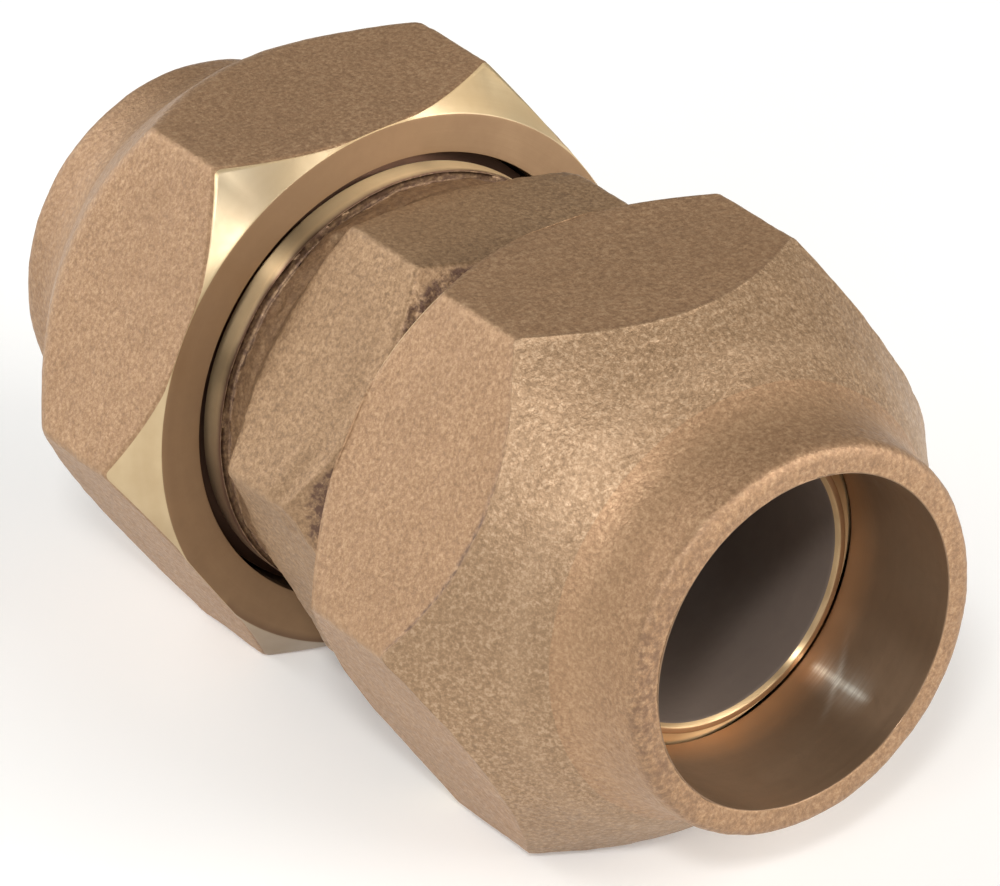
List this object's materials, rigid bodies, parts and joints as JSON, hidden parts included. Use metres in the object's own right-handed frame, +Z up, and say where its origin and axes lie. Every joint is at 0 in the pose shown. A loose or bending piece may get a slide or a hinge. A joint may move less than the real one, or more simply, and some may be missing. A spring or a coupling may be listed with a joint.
{
  "type": "pipe union",
  "caption": "Bronze flare union for copper water tube: a short hexagon body with a bore right through, between two domed hexagon flare nuts.",
  "frame": {"origin": "on the tube axis, half way along the union body", "axes": "+X along the tube axis toward the right nut's mouth, +Z up out of a flat of the right nut, which lies level"},
  "size_m": [0.0688, 0.0432, 0.0384],
  "materials": {
    "body_bronze": "sand-cast bronze hexagon with turned collars, threads and cones",
    "nut_bronze": "sand-cast bronze flats and dome with a turned face, chamfer, thread and bore"
  },
  "bodies": {
    "union_body": {"union_body": "body_bronze"},
    "left_nut": {"left_nut": "nut_bronze"},
    "right_nut": {"right_nut": "nut_bronze"}
  },
  "joints": [
    {"name": "left_nut_turn", "type": "hinge", "parent": "union_body", "child": "left_nut", "pos_m": [-0.0175, 0, 0], "axis": [-1, 0, 0], "range_deg": [0, 1890]},
    {"name": "right_nut_turn", "type": "hinge", "parent": "union_body", "child": "right_nut", "pos_m": [0.0175, 0, 0], "axis": [1, 0, 0], "range_deg": [0, 1890]}
  ]
}
